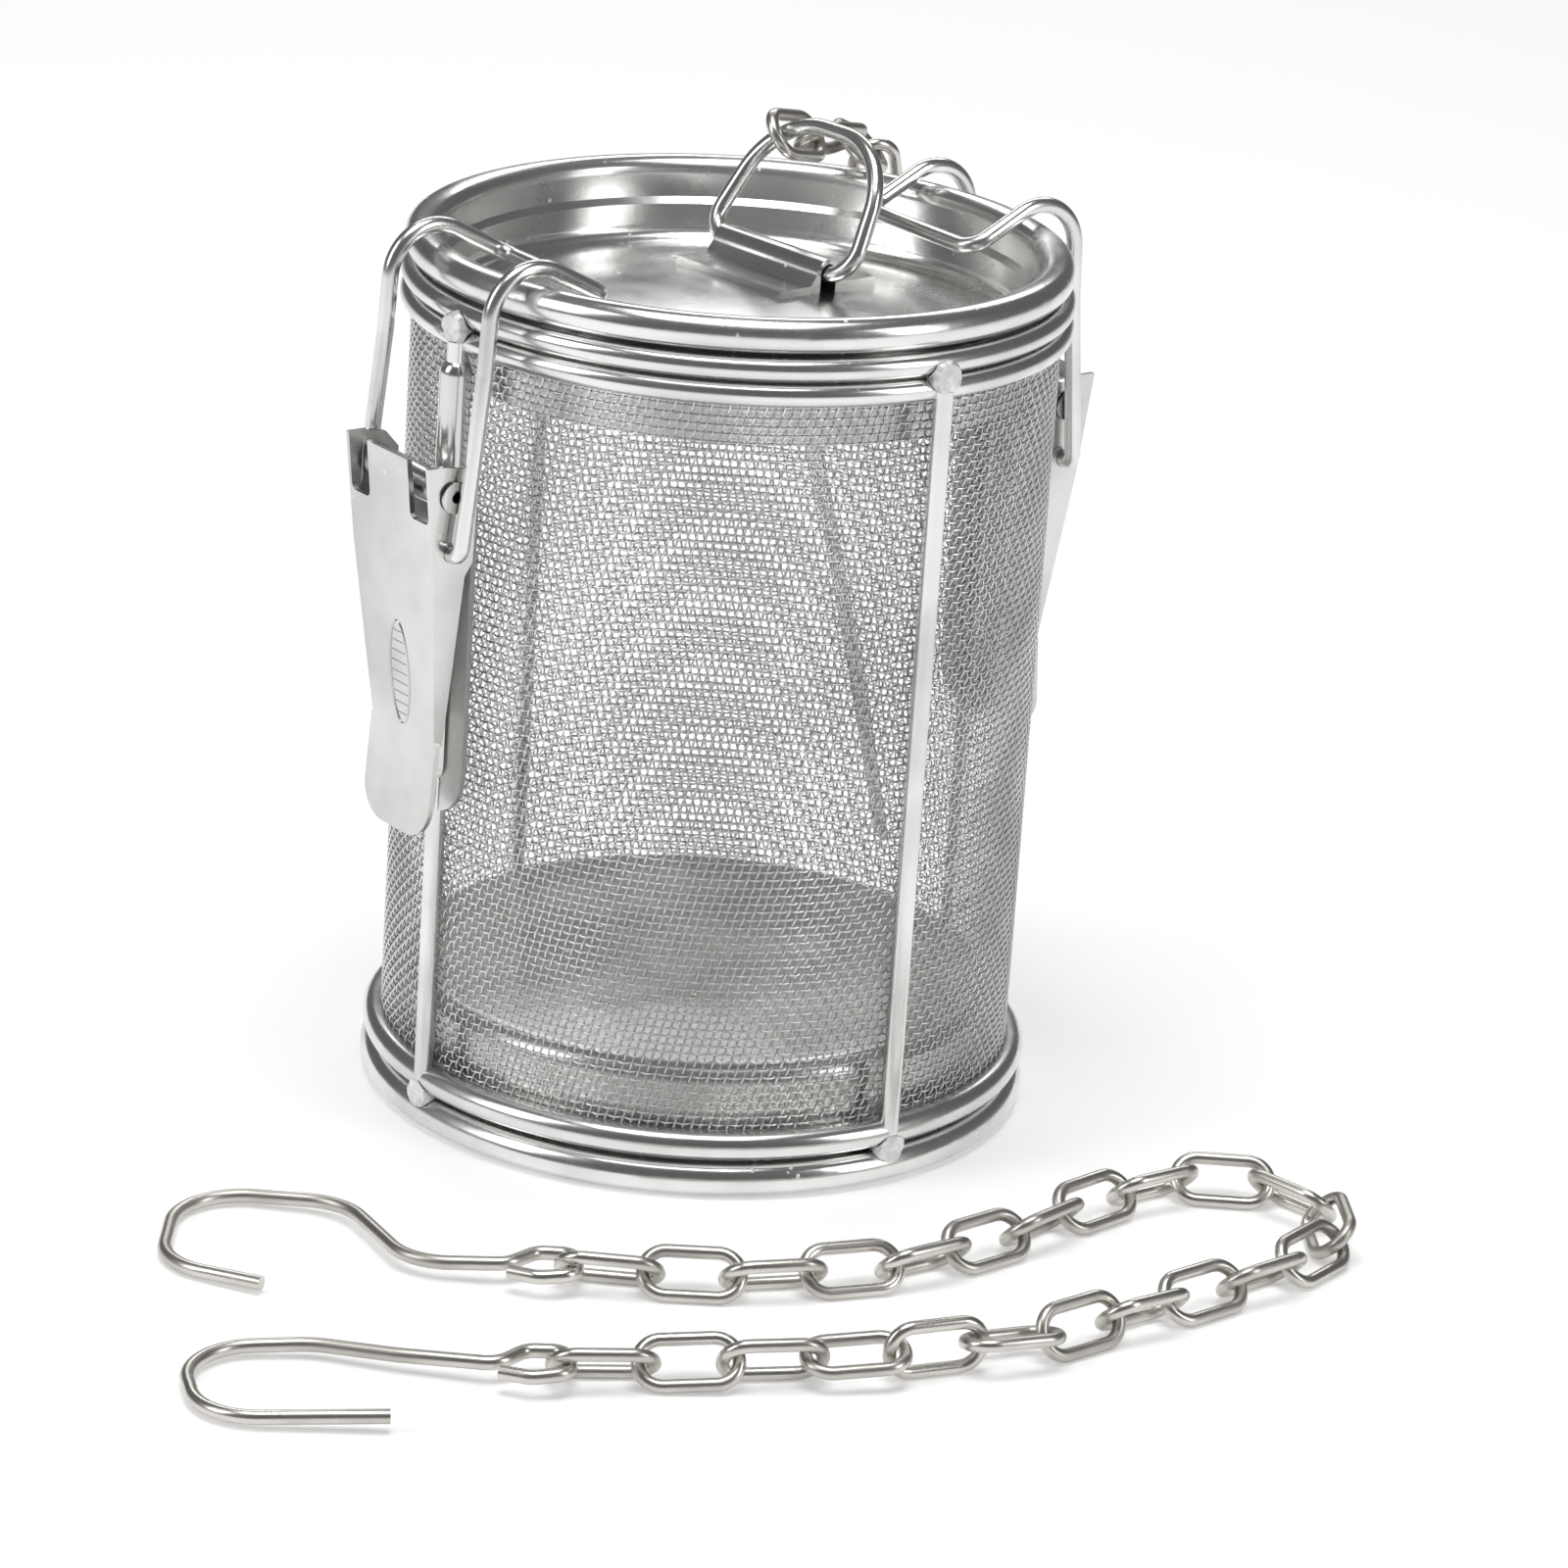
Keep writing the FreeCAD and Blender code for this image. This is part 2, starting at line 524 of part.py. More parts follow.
def lever():
    """Pressed U-section with ears at the pivot, notches beside the tongue and a thumb tab."""
    outside = channel_block(0, 12)
    shape = outside.cut(channel_block(SHEET, 16))
    side = prism([(FACE + 1, FACE_TOP), (FACE - 2.6, FACE_TOP), (PX - 1.5, PZ + 3.3), (PX - 3.4, PZ + 1.2),
                  (PX - 3.2, BAIL_Z - 1.5), (PX - 2.2, BAIL_Z - 3.2), (BEND_X - 1.2, BEND_Z),
                  (FACE + 1, BEND_Z)], 40)
    shape = shape.common(side)
    notch_low = FACE_TOP - D["notch_depth"]
    for edge in (-1, 1):
        inner = edge * D["tongue_width"] / 2
        outer = edge * EAR_IN
        notch = Part.makeBox(3.0, abs(outer - inner), D["notch_depth"] + 2,
                             V(FACE - 2.2, min(inner, outer), notch_low))
        notch = notch.makeFillet(0.9, [e for e in notch.Edges if abs(e.CenterOfMass.z - notch_low) < 1e-6
                                       and abs(e.tangentAt(e.FirstParameter).x) > 0.9])
        shape = shape.cut(notch)
    tab_x = BEND_X - SHEET
    half = D["tab_width"] / 2
    low = BEND_Z - D["tab_length"]
    tab = prism([(BEND_X, BEND_Z + 0.4), (BEND_X + D["tab_flare"], low),
                 (BEND_X + D["tab_flare"] - SHEET, low), (tab_x, BEND_Z + 0.4)], D["tab_width"])
    round_end = Part.makeBox(8, 2 * half, 40, V(tab_x - 4, -half, low))
    round_end = round_end.makeFillet(4.6, [e for e in round_end.Edges if abs(e.CenterOfMass.z - low) < 1e-6
                                           and abs(e.tangentAt(e.FirstParameter).x) > 0.9])
    shape = shape.fuse(tab.common(round_end))
    shape = shape.cut(bar(D["pivot_radius"] + D["running_gap"], 40, PX, PZ))
    return shape.cut(bar(HOLE, 40, PX, BAIL_Z)).removeSplitter()


def bail():
    """Wire loop: turned-in ends, legs, a bend over the rim and a tail closed by a cross bar."""
    half = PIN_END + D["bail_gap"] + D["bail_wire"]
    crest_z = TOP + D["bail_wire"] + D["bail_crest"]
    rim_x = math.sqrt(amount(RIM_R) ** 2 - half**2)
    slope = math.radians(D["bail_slope"])
    bend = D["bail_bend"]
    leg_x = rim_x + bend
    corner = V(leg_x, 0, crest_z - bend + bend * math.tan((math.pi / 2 + slope) / 2))
    tail_run = D["bail_tail"] + bend * math.tan((math.pi / 2 + slope) / 2)
    tail = corner + V(-math.cos(slope), 0, -math.sin(slope)) * tail_run
    foot = V(PX, 0, BAIL_Z)
    elbow = V(leg_x + 0.9, 0, crest_z - bend - 6.0)
    inner = V(0, EAR_IN - 0.2, 0)
    out = V(0, half, 0)
    bends = [D["bail_corner"] - 1.2, 9.0, bend, D["bail_corner"], D["bail_corner"], bend, 9.0,
             D["bail_corner"] - 1.2]
    points = [foot - inner, foot - out, elbow - out, corner - out, tail - out, tail + out, corner + out,
              elbow + out, foot + out, foot + inner]
    return wire_solid(rounded(points, [0] + bends + [0]), D["bail_wire"])


for side, angle in (("right", 0), ("left", 180)):
    for name, make in (("latch_base", latch_base), ("pivot_pin", pivot_pin), ("lever", lever), ("bail", bail)):
        shape = make()
        shape.rotate(V(0, 0, 0), Z_AXIS, angle)
        feature(shape, f"{side}_{name}")

# Chains ---------------------------------------------------------------------------------------

LINK_R = D["link_wire"]
HALF_LINK = D["link_length"] / 2 - LINK_R
PITCH = 2 * HALF_LINK - 2 * LINK_R - D["link_gap"]
SPREAD = D["link_width"] / 2 - LINK_R


def link_shape():
    straight = HALF_LINK - SPREAD
    corners = [V(-straight, -SPREAD, 0), V(straight, -SPREAD, 0), V(straight, SPREAD, 0), V(-straight, SPREAD, 0)]
    edges = []
    for end, a, b in ((1, 1, 2), (-1, 3, 0)):
        edges.append(Part.LineSegment(corners[a - 1], corners[a]).toShape())
        edges.append(Part.Arc(corners[a], V(end * HALF_LINK, 0, 0), corners[b]).toShape())
    return wire_solid(Part.Wire(edges), LINK_R)


def frame_along(start, end, tilt):
    """A placement whose X runs from start to end, rolled by tilt degrees about it."""
    along = (end - start).normalize()
    level = Z_AXIS.cross(along).normalize()
    up = along.cross(level)
    angle = math.radians(tilt)
    across = level * math.cos(angle) + up * math.sin(angle)
    turned = FreeCAD.Rotation(along, across, along.cross(across), "XYZ")
    return FreeCAD.Placement((start + end) * 0.5, turned)


def stepped(route, count):
    """count joints, one pitch apart, from the first point of a route of straight runs."""
    joints = [route[0]]
    leg = 1
    while len(joints) < count:
        here = joints[-1]
        while leg < len(route) - 1 and here.distanceToPoint(route[leg]) < PITCH:
            leg += 1
        a, b = route[leg - 1], route[leg]
        along = (b - a).normalize()
        across = (a - here) - along * (a - here).dot(along)
        run = (here - a).dot(along) + math.sqrt(PITCH**2 - across.Length**2)
        joints.append(a + along * run)
    return joints


LINK = link_shape()


def place_link(label, start, end, tilt):
    obj = doc.addObject("Part::Feature", label)
    obj.Shape = LINK
    obj.Placement = frame_along(start, end, tilt)
    return keep(obj, label)


def hook_shape(bends, radii):
    """A bent hook in its own XY plane. The eye's joint is at the origin and the hook runs along -X.

    bends are the shank's corners after the neck, out from the joint and across, the last being the tip.
    """
    wire, eye = D["hook_wire"], D["hook_eye"]
    reach = (wire + LINK_R + D["link_gap"]) / 2
    neck = reach - 2 * eye - 1.4
    points = [V(neck + 0.2, -1.95, 0), V(reach - 1.35 * eye, -1.05 * eye, 0), V(reach, -0.85 * eye, 0),
              V(reach, 0.85 * eye, 0), V(reach - 1.35 * eye, 1.05 * eye, 0), V(neck, 0.35, 0)]
    points += [V(-out, across, 0) for out, across in bends]
    return wire_solid(rounded(points, [0, 2.4, 2.2, 2.2, 2.4, 3.0] + radii + [0]), wire)


def place_hook(label, shape, joint, towards, tilt):
    obj = doc.addObject("Part::Feature", label)
    obj.Shape = shape
    placed = frame_along(towards, joint, tilt)
    placed.Base = joint
    obj.Placement = placed
    return keep(obj, label)


# The loose chain lies on the table in front of the basket, doubled back at its right end.
ROUTE = [(-53.5, -49.2), (-40.5, -60.5), (-21.3, -68.2), (-3.0, -68.6), (16.0, -64.8), (29.5, -64.2),
         (38.0, -70.2), (40.2, -80.0), (34.9, -89.0), (24.5, -92.0), (7.0, -93.0), (-15.0, -94.0),
         (-32.0, -90.5), (-50.0, -82.8), (-90.0, -59.7)]
LOOSE_LINKS = 23
TWIST_FROM, TWIST_STEP, TWIST_LINKS = 17, -15, 6
TABLE_GAP = 0.02


def loose_tilt(i):
    """Links lie on one side and the other in turn, and the chain is twisted a quarter turn near its end."""
    twist = TWIST_STEP * min(max(i - TWIST_FROM + 1, 0), TWIST_LINKS)
    return (-45 if i % 2 else 45) + twist


def half_height(i):
    return SPREAD * abs(math.sin(math.radians(loose_tilt(min(max(i, 1), LOOSE_LINKS))))) + LINK_R


joints = stepped([V(x, y, 0) for x, y in ROUTE], LOOSE_LINKS + 1)
for i, joint in enumerate(joints):
    joint.z = max(half_height(i), half_height(i + 1)) + TABLE_GAP
for i in range(1, LOOSE_LINKS + 1):
    place_link(f"loose_chain_link_{i:02d}", joints[i - 1], joints[i], loose_tilt(i))

LONG = D["hook_length"]
wide_hook = hook_shape([(0.39 * LONG, 1.0), (0.55 * LONG, 18.5), (0.97 * LONG, 22.5), (1.0 * LONG, 1.0),
                        (0.75 * LONG, -5.0)], [8.0, 9.0, 8.5, 8.5])
slim_hook = hook_shape([(0.38 * LONG, 3.6), (0.58 * LONG, 7.4), (0.9 * LONG, 7.6), (0.86 * LONG, -11.0),
                        (0.42 * LONG, -12.4)], [9.0, 12.0, 8.0, 8.0])
FAR_Z = D["hook_wire"] + TABLE_GAP


def flat_hook(label, shape, joint, direction):
    """A hook that lies on the table, its eye raised to the chain's own height."""
    ahead = V(math.cos(math.radians(direction)), math.sin(math.radians(direction)), 0)
    far = joint + ahead * (1.02 * LONG)
    far.z = FAR_Z
    return place_hook(label, shape, joint, far, 0)


flat_hook("loose_hook_a", wide_hook, joints[0], 147.0)
flat_hook("loose_hook_b", slim_hook, joints[-1], 151.0)

# The lid's own chain goes from the ring over the back of the rim and hangs behind the basket.
OVER = V(0.85, 0.527, 0).normalize()
LID_TILTS = (54, -36, 44, -40, 55, -25, 65)
clear = D["link_width"] / 2 + 0.4
away = (OVER * amount(RIM_R) + V(0, 0, TOP + clear) - ON_RING).normalize()
start = ON_RING - away * (RING_R + D["link_gap"] / 2)
hang = amount(RIM_R) + D["rim_roll"] + 6.4
lid_joints = stepped([start, OVER * (amount(RIM_R) - 1.5) + V(0, 0, TOP + clear),
                      OVER * (hang - 1.6) + V(0, 0, TOP + 0.6), OVER * (hang + 1.4) + V(0, 0, TOP - 8),
                      OVER * (hang + 0.8) + V(0, 0, 40)], len(LID_TILTS) + 1)
for i, tilt in enumerate(LID_TILTS, start=1):
    place_link(f"lid_chain_link_{i:02d}", lid_joints[i - 1], lid_joints[i], tilt)

for name, points in (("loose", joints), ("lid", lid_joints)):
    print(name, "chain joints", [tuple(round(c, 2) for c in p) for p in points])
print("ring axis at", round(RING_Z, 3), "latch pivot", PX, round(PZ, 2), "bail pivot", PX, round(BAIL_Z, 2))

# Check and export -----------------------------------------------------------------------------

doc.recompute()
for obj in doc.Objects:
    if "Invalid" in obj.State or "Error" in obj.State:
        raise SystemExit(f"{obj.Label} failed: {obj.State}")
os.makedirs("parts", exist_ok=True)
for obj in pieces:
    if obj.Shape.isNull() or not obj.Shape.isValid():
        raise SystemExit(f"{obj.Label} has no valid shape")
    obj.Shape.exportStep(os.path.join("parts", obj.Label + ".step"))
    print(f"{obj.Label}: {len(obj.Shape.Solids)} solids, {obj.Shape.Volume:.1f} mm3")
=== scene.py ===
import json
import math

import bpy
import numpy as np
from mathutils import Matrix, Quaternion, Vector


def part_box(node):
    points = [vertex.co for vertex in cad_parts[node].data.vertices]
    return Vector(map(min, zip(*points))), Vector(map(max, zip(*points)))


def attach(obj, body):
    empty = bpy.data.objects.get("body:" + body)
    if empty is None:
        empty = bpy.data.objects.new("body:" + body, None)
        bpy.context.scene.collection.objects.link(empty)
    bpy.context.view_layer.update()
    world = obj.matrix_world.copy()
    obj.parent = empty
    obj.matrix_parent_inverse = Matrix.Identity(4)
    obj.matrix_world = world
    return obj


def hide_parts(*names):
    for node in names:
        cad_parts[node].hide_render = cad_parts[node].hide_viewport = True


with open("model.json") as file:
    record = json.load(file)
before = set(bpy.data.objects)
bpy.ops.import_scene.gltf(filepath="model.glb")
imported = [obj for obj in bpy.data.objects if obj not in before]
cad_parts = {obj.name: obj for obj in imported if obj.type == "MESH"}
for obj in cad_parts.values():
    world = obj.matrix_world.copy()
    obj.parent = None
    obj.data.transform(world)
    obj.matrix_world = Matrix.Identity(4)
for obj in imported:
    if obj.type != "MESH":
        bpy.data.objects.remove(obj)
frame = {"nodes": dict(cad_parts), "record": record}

mm = 0.001
bodies = frame["record"]["behaviour"]["bodies"]
bodyOf = {node: body for body, nodes in bodies.items() for node in nodes}
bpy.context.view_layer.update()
bpy.ops.object.select_all(action="DESELECT")
print("frame loaded:", len(frame["nodes"]), "nodes")


# Shader maths

class Wire:
    # a socket of a node tree, with the sums used below

    def __init__(self, tree, socket):
        self.tree = tree
        self.socket = socket

    def node(self, kind, settings=None, **inputs):
        made = self.tree.nodes.new(kind)
        for key, value in (settings or {}).items():
            if key == "stops":
                ramp = made.color_ramp
                while len(ramp.elements) < len(value):
                    ramp.elements.new(0.5)
                for element, (place, tone) in zip(ramp.elements, value):
                    element.position = place
                    element.color = (tone, tone, tone, 1)
            else:
                setattr(made, key, value)
        for key, value in inputs.items():
            name = key.replace("_", " ")
            socket = made.inputs[int(key[1:])] if key[0] == "i" and key[1:].isdigit() else made.inputs[name]
            if isinstance(value, Wire):
                self.tree.links.new(value.socket, socket)
            else:
                socket.default_value = value
        return made

    def out(self, kind, settings=None, output=0, **inputs):
        return Wire(self.tree, self.node(kind, settings, **inputs).outputs[output])

    def maths(self, operation, *values):
        slots = {f"i{number}": value for number, value in enumerate(values)}
        return self.out("ShaderNodeMath", {"operation": operation}, **slots)

    def __add__(self, other):
        return self.maths("ADD", self, other)

    def __radd__(self, other):
        return self.maths("ADD", other, self)

    def __sub__(self, other):
        return self.maths("SUBTRACT", self, other)

    def __rsub__(self, other):
        return self.maths("SUBTRACT", other, self)

    def __mul__(self, other):
        return self.maths("MULTIPLY", self, other)

    def __rmul__(self, other):
        return self.maths("MULTIPLY", other, self)

    def above(self, low, high):
        return self.out("ShaderNodeMapRange", {"interpolation_type": "SMOOTHSTEP"}, Value=self, i1=low, i2=high)

    def mixed(self, one, other):
        tones = [value if isinstance(value, Wire) else (*value, 1) for value in (one, other)]
        return self.out("ShaderNodeMix", {"data_type": "RGBA"}, output=2, i0=self, i6=tones[0], i7=tones[1])


def newMaterial(name):
    material = bpy.data.materials.new(name)
    material.use_nodes = True
    tree = material.node_tree
    shader = tree.nodes["Principled BSDF"]
    place = tree.nodes.new("ShaderNodeTexCoord")
    return material, shader, Wire(tree, place.outputs["Object"])


def noise(place, scale, detail=3.0, stretch=None):
    if stretch:
        place = place.out("ShaderNodeVectorMath", {"operation": "MULTIPLY"}, i0=place, i1=stretch)
    return place.out("ShaderNodeTexNoise", Vector=place, Scale=scale, Detail=detail)


def feed(wire, shader, socket):
    wire.tree.links.new(wire.socket, shader.inputs[socket])


def bumped(shader, height, strength, distance):
    bump = height.node("ShaderNodeBump", Height=height, Strength=strength, Distance=distance)
    height.tree.links.new(bump.outputs["Normal"], shader.inputs["Normal"])


steelLooks = {
    # bright and dull tones, roughness low and high, specks of dried water, ripple of the pressed surface
    "spun_sheet": dict(bright=(0.82, 0.82, 0.81), dull=(0.68, 0.68, 0.67), rough=(0.16, 0.28), specks=0.9, ripple=0.3),
    "polished_wire": dict(bright=(0.8, 0.8, 0.79), dull=(0.66, 0.66, 0.65), rough=(0.17, 0.28), specks=0.3,
                          ripple=0.16),
    "pressed_sheet": dict(bright=(0.7, 0.7, 0.69), dull=(0.56, 0.56, 0.55), rough=(0.18, 0.3), specks=0.6,
                          ripple=0.25),
    "woven_wire": dict(bright=(0.82, 0.82, 0.81), dull=(0.64, 0.64, 0.63), rough=(0.22, 0.34), specks=0.0, ripple=0.0),
    "rivet": dict(bright=(0.72, 0.72, 0.71), dull=(0.54, 0.54, 0.53), rough=(0.2, 0.34), specks=0.1, ripple=0.1),
    "chain_wire": dict(bright=(0.66, 0.64, 0.6), dull=(0.46, 0.44, 0.41), rough=(0.24, 0.38), specks=0.1, ripple=0.2),
}


def steel(name, bright, dull, rough, specks, ripple):
    material, shader, place = newMaterial(name)
    cloud = noise(place, 60.0)
    grain = noise(place, 900.0, 2.0)
    spots = place.out("ShaderNodeTexVoronoi", {"feature": "F1"}, Vector=place, Scale=420.0)
    speck = (1 - spots.above(0.08, 0.16)) * noise(place, 160.0).above(0.52, 0.6) * specks
    worn = cloud.above(0.35, 0.7)
    feed(speck.mixed(worn.mixed(bright, dull), (0.93, 0.93, 0.92)), shader, "Base Color")
    shader.inputs["Metallic"].default_value = 1.0
    feed(worn * (rough[1] - rough[0]) + rough[0] + grain * 0.05 + speck * 0.25, shader, "Roughness")
    bumped(shader, cloud * ripple + grain * 0.03 + speck * 0.3, 0.35, 0.0002)
    return material


weldLook = dict(white=(0.9, 0.9, 0.89), grey=(0.66, 0.66, 0.65), rough=0.42)


def weldMetal(white, grey, rough):
    material, shader, place = newMaterial("weld_metal")
    frost = noise(place, 700.0, 4.0)
    feed(frost.above(0.3, 0.65).mixed(grey, white), shader, "Base Color")
    shader.inputs["Metallic"].default_value = 0.85
    feed(frost * 0.25 + rough, shader, "Roughness")
    bumped(shader, frost, 0.6, 0.0002)
    return material


finishes = {name: steel(name, **look) for name, look in steelLooks.items()}
finishes["weld_metal"] = weldMetal(**weldLook)
print("materials made")


# Smooth copies of the metal pieces

def finishPiece(piece, slotName, body, *nodes):
    piece.data.materials.clear()
    piece.data.materials.append(finishes[slotName])
    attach(piece, body)
    if nodes:
        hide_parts(*nodes)
    return piece


def smoothCopy(node, slotName, sharp=35):
    source = frame["nodes"][node]
    piece = bpy.data.objects.new(node + "_metal", source.data.copy())
    bpy.context.collection.objects.link(piece)
    bpy.ops.object.select_all(action="DESELECT")
    bpy.context.view_layer.objects.active = piece
    piece.select_set(True)
    bpy.ops.object.mode_set(mode="EDIT")
    bpy.ops.mesh.select_all(action="SELECT")
    bpy.ops.mesh.customdata_custom_splitnormals_clear()
    bpy.ops.mesh.remove_doubles(threshold=1e-6)
    bpy.ops.object.mode_set(mode="OBJECT")
    bpy.ops.object.shade_smooth_by_angle(angle=math.radians(sharp))
    return finishPiece(piece, slotName, bodyOf[node], node)


weldShape = dict(voxel=0.16 * mm, lump=0.55 * mm, lumpSize=1.6 * mm, middle=0.75)


def modified(piece, kind, **settings):
    bpy.context.view_layer.objects.active = piece
    modifier = piece.modifiers.new(kind.lower(), kind)
    for key, value in settings.items():
        setattr(modifier, key, value)
    bpy.ops.object.modifier_apply(modifier=modifier.name)


def roughWeld(piece):
    lumps = bpy.data.textures.new("weld_lumps", "CLOUDS")
    lumps.noise_scale = weldShape["lumpSize"]
    modified(piece, "REMESH", mode="VOXEL", voxel_size=weldShape["voxel"], use_smooth_shade=True)
    modified(piece, "DISPLACE", texture=lumps, texture_coords="LOCAL", mid_level=weldShape["middle"],
             strength=weldShape["lump"])


slotOf = {row["node"]: row["material_slot"] for row in frame["record"]["subparts"]}
for node in sorted(frame["nodes"]):
    if node != "mesh_wall":
        copied = smoothCopy(node, slotOf[node])
        if node.endswith("_welds"):
            roughWeld(copied)
print("metal pieces smoothed")


# Woven wire cloth

cloth = dict(uprights=234, rows=89, wire=0.3 * mm, lean=14.0, quarters=4, bands=3, flat=0.24)


def clothFace():
    low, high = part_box("mesh_wall")
    outside = (high.x - low.x) / 2
    return outside - cloth["wire"], low.z, high.z


clothRadius, clothLow, clothTop = clothFace()
rowPitch = (clothTop - clothLow) / cloth["rows"]
rowHeights = clothLow + (np.arange(cloth["rows"]) + 0.5) * rowPitch
uprightPitch = 2 * math.pi / cloth["uprights"]


def turnAt(height):
    return math.tan(math.radians(cloth["lean"])) * (height - clothLow) / clothRadius


def onCloth(turn, height, over):
    radius = clothRadius + over * cloth["wire"] / 2
    return np.stack([radius * np.cos(turn), radius * np.sin(turn), height], axis=1)


def uprightRoute(number):
    rows = np.repeat(np.arange(cloth["rows"]), 2)
    side = np.tile([-1, 1], cloth["rows"]) * cloth["flat"]
    height = rowHeights[rows] + side * rowPitch
    over = np.where((rows + number) % 2 == 0, 1.0, -1.0)
    ends = [0, -1]
    height[ends] = clothLow, clothTop
    return onCloth(number * uprightPitch + turnAt(height), height, over)


def rowRoute(row):
    numbers = np.repeat(np.arange(cloth["uprights"]), 2)
    side = np.tile([-1, 1], cloth["uprights"]) * cloth["flat"]
    over = np.where((numbers + row) % 2 == 0, -1.0, 1.0)
    turn = (numbers + side) * uprightPitch + turnAt(rowHeights[row])
    return onCloth(turn, np.full(len(turn), rowHeights[row]), over)


def wireSet(name, routes, closed, thick=cloth["wire"]):
    curve = bpy.data.curves.new(name, "CURVE")
    curve.dimensions = "3D"
    curve.bevel_depth = thick / 2
    curve.bevel_resolution = 0
    curve.use_fill_caps = not closed
    for route in routes:
        spline = curve.splines.new("POLY")
        spline.points.add(len(route) - 1)
        spline.points.foreach_set("co", np.column_stack([route, np.ones(len(route))]).ravel())
        spline.use_cyclic_u = closed
    piece = bpy.data.objects.new(name, curve)
    bpy.context.collection.objects.link(piece)
    bpy.ops.object.select_all(action="DESELECT")
    bpy.context.view_layer.objects.active = piece
    piece.select_set(True)
    bpy.ops.object.convert(target="MESH")
    piece = bpy.context.active_object
    bpy.ops.object.shade_smooth()
    return piece


clothPieces = []
perQuarter = math.ceil(cloth["uprights"] / cloth["quarters"])
for quarter in range(cloth["quarters"]):
    numbers = range(quarter * perQuarter, min((quarter + 1) * perQuarter, cloth["uprights"]))
    clothPieces.append(wireSet(f"cloth_uprights_{quarter + 1}", [uprightRoute(n) for n in numbers], False))
perBand = math.ceil(cloth["rows"] / cloth["bands"])
for band in range(cloth["bands"]):
    rows = range(band * perBand, min((band + 1) * perBand, cloth["rows"]))
    clothPieces.append(wireSet(f"cloth_rows_{band + 1}", [rowRoute(row) for row in rows], True))
for piece in clothPieces:
    finishPiece(piece, "woven_wire", bodyOf["mesh_wall"], "mesh_wall")
print("cloth woven:", sum(len(piece.data.polygons) for piece in clothPieces), "faces")


# Seam of the cloth, the doubled edge where the sheet was rolled up

seam = dict(start=math.radians(11.2), rise=math.radians(380.0), strands=6, spacing=0.4 * mm, wire=0.36 * mm,
            inside=0.46 * mm, foot=22.0 * mm, head=97.0 * mm, datum=8.3 * mm, points=60)


def seamRoute(strand):
    height = np.linspace(seam["foot"], seam["head"], seam["points"])
    radius = clothRadius - seam["inside"]
    aside = (strand - (seam["strands"] - 1) / 2) * seam["spacing"] / radius
    turn = seam["start"] + seam["rise"] * (height - seam["datum"]) + aside
    return np.stack([radius * np.cos(turn), radius * np.sin(turn), height], axis=1)


clothSeam = wireSet("cloth_seam", [seamRoute(strand) for strand in range(seam["strands"])], False,
                    seam["wire"])
finishPiece(clothSeam, "woven_wire", bodyOf["mesh_wall"])
print("cloth seam laid")


# Plain knurled oval pressed into each lever's face

oval = dict(low=55.6 * mm, high=69.3 * mm, width=4.0 * mm, line=0.16 * mm, bars=9, barSpread=0.4, barFill=0.82,
            rimPoints=48, outside=100.0 * mm)


def faceAt(lever, side, height):
    return lever.ray_cast(Vector((side * oval["outside"], 0, height)), Vector((-side, 0, 0)))[1]


def leverOval(node):
    lever = bpy.data.objects[node + "_metal"]
    low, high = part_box(node)
    side = 1 if (low + high).x > 0 else -1
    foot, head = (faceAt(lever, side, oval[end]) for end in ("low", "high"))
    middle, length = (foot + head) / 2, (head - foot).length
    leaning = math.atan2(head.x - foot.x, head.z - foot.z)
    rim = [(math.cos(turn) * oval["width"] / 2, math.sin(turn) * length / 2)
           for turn in np.linspace(0, 2 * math.pi, oval["rimPoints"], endpoint=False)]
    bars = []
    for along in np.linspace(-oval["barSpread"], oval["barSpread"], oval["bars"]):
        half = oval["width"] / 2 * math.sqrt(1 - (2 * along) ** 2) * oval["barFill"]
        bars.append([(-half, along * length), (half, along * length)])

    def onFace(points):
        return np.array([(middle.x + z * math.sin(leaning), y, middle.z + z * math.cos(leaning)) for y, z in points])

    pieces = [wireSet(node + "_oval_rim", [onFace(rim)], True, oval["line"] * 2),
              wireSet(node + "_oval_bars", [onFace(bar) for bar in bars], False, oval["line"])]
    for piece in pieces:
        finishPiece(piece, "pressed_sheet", bodyOf[node])


bpy.context.view_layer.update()
for node in sorted(frame["nodes"]):
    if node.endswith("_lever"):
        leverOval(node)
print("lever ovals pressed")


# Camera, floor and light

cameraPlace = dict(at=(-0.43607, -0.57868, 0.29980), towards=(0.5768, 0.7441, -0.3370), roll=0.0672, lens=136.2)


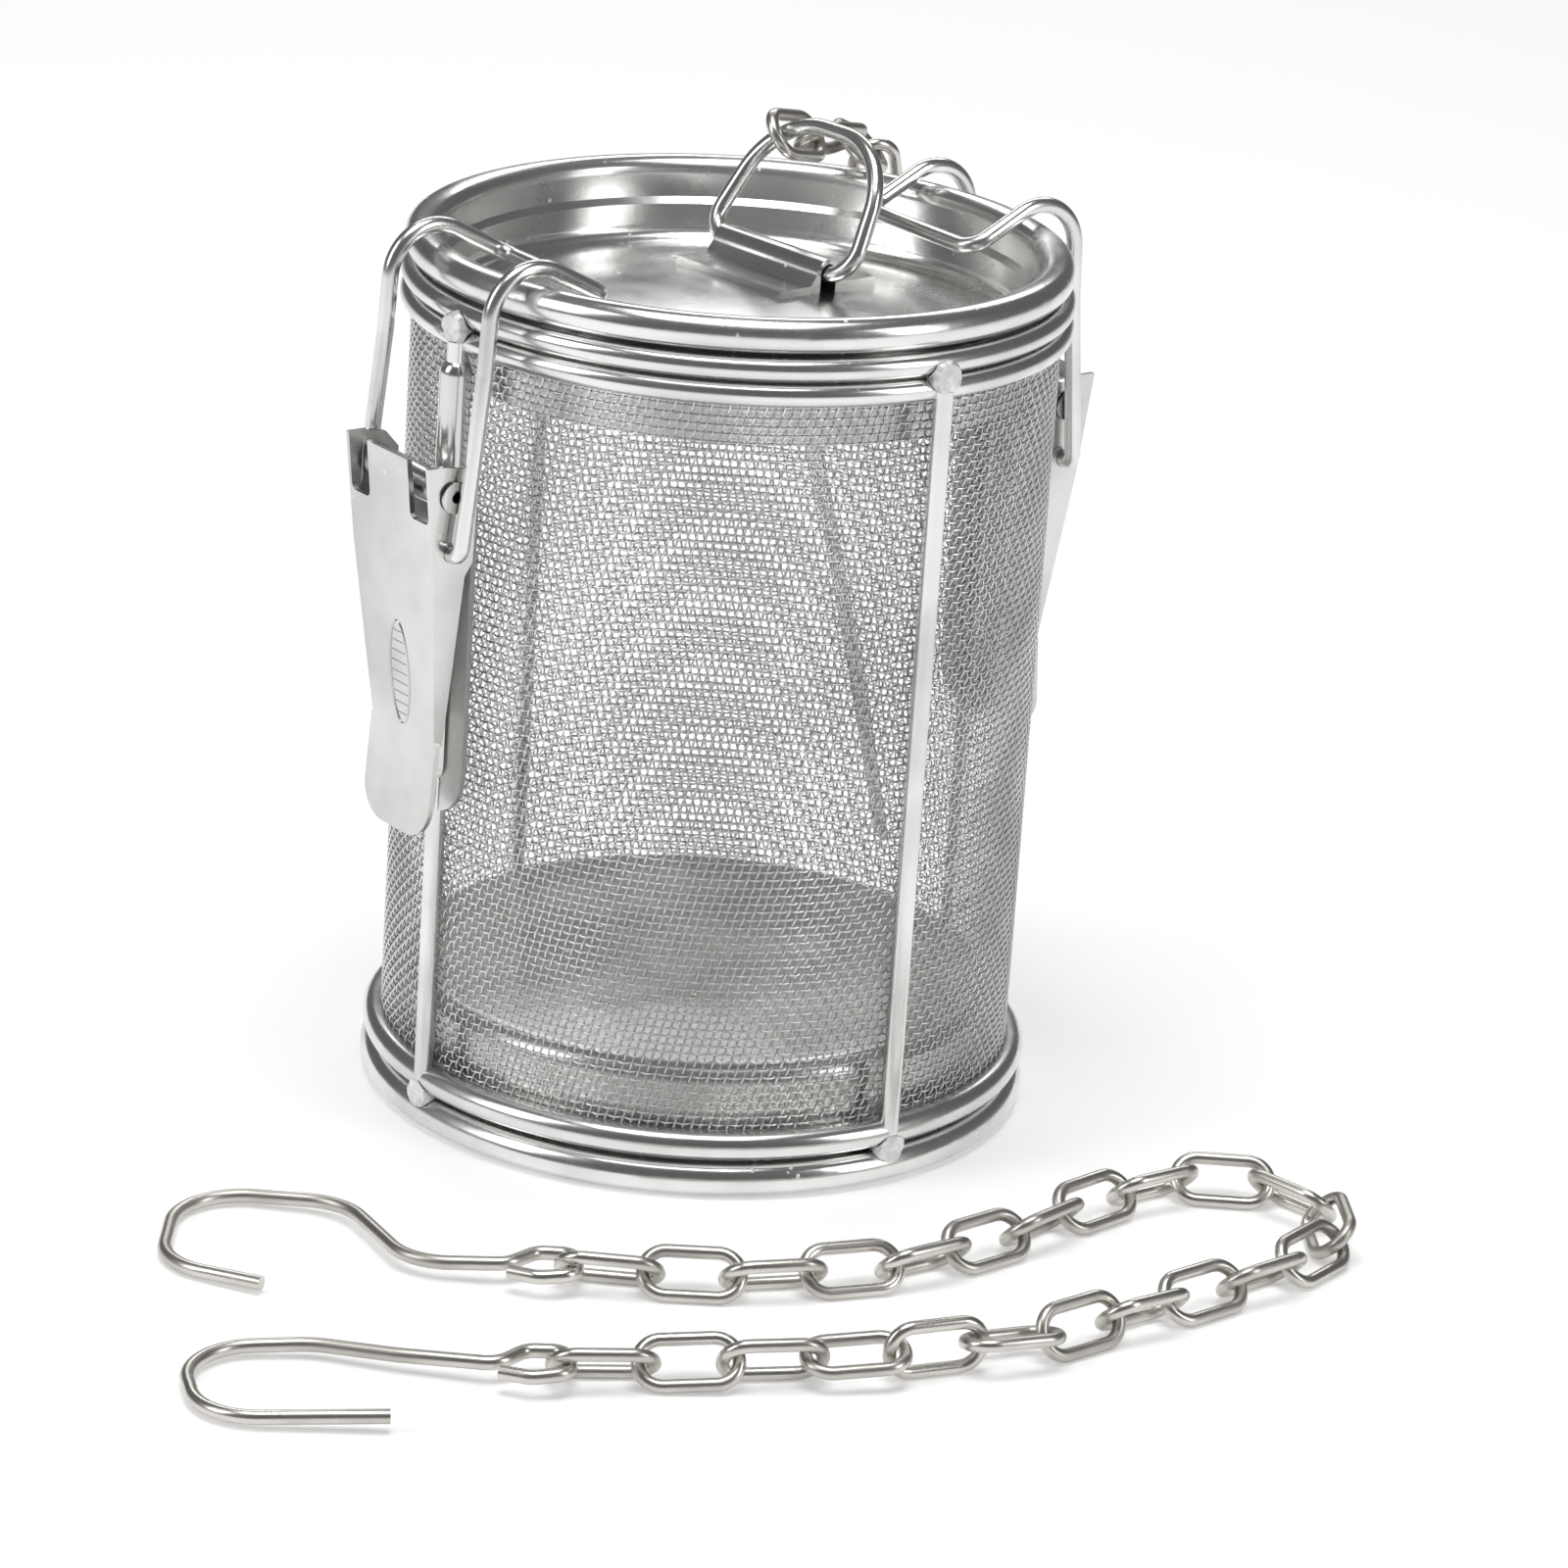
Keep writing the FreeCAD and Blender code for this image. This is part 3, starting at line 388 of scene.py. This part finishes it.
def addCamera(at, towards, roll, lens):
    bpy.ops.object.camera_add(location=at)
    camera = bpy.context.active_object
    camera.data.lens = lens
    camera.data.sensor_width = 36
    camera.rotation_mode = "QUATERNION"
    aimed = Vector(towards).to_track_quat("-Z", "Y")
    camera.rotation_quaternion = aimed @ Quaternion((0, 0, 1), roll)
    bpy.context.scene.camera = camera


studio = dict(floorSize=6.0, floorTone=(0.9, 0.9, 0.9), floorGlow=0.28, worldTone=0.12)
softboxes = {
    # place, size and power
    "overhead": dict(at=(-0.1, -0.1, 1.2), size=(0.7, 0.7), power=7.5),
    "left": dict(at=(-1.1, 0.25, 0.75), size=(0.5, 0.9), power=5.2),
    "right": dict(at=(0.55, -1.15, 0.6), size=(0.35, 0.9), power=4.0),
    "behind": dict(at=(0.7, 0.9, 0.9), size=(1.1, 0.4), power=4.4),
}


def addStudio(floorSize, floorTone, floorGlow, worldTone):
    bpy.ops.mesh.primitive_plane_add(size=floorSize, location=(0, 0, 0))
    floor = bpy.context.active_object
    floor.name = "floor"
    material, shader, place = newMaterial("floor_paper")
    shader.inputs["Base Color"].default_value = (*floorTone, 1)
    shader.inputs["Roughness"].default_value = 0.9
    shader.inputs["Emission Color"].default_value = (1, 1, 1, 1)
    shader.inputs["Emission Strength"].default_value = floorGlow
    shader.inputs["Specular IOR Level"].default_value = 0.1
    floor.data.materials.append(material)
    world = bpy.data.worlds.new("studio")
    world.use_nodes = True
    world.node_tree.nodes["Background"].inputs["Color"].default_value = (worldTone, worldTone, worldTone, 1)
    bpy.context.scene.world = world
    for name, box in softboxes.items():
        bpy.ops.object.light_add(type="AREA", location=box["at"])
        light = bpy.context.active_object
        light.name = name + "_softbox"
        light.data.shape = "RECTANGLE"
        light.data.size, light.data.size_y = box["size"]
        light.data.energy = box["power"]
        light.rotation_mode = "QUATERNION"
        light.rotation_quaternion = (-Vector(box["at"])).to_track_quat("-Z", "Y")


addCamera(**cameraPlace)
addStudio(**studio)
bpy.context.scene.view_settings.view_transform = "Standard"
print("camera and lights set")
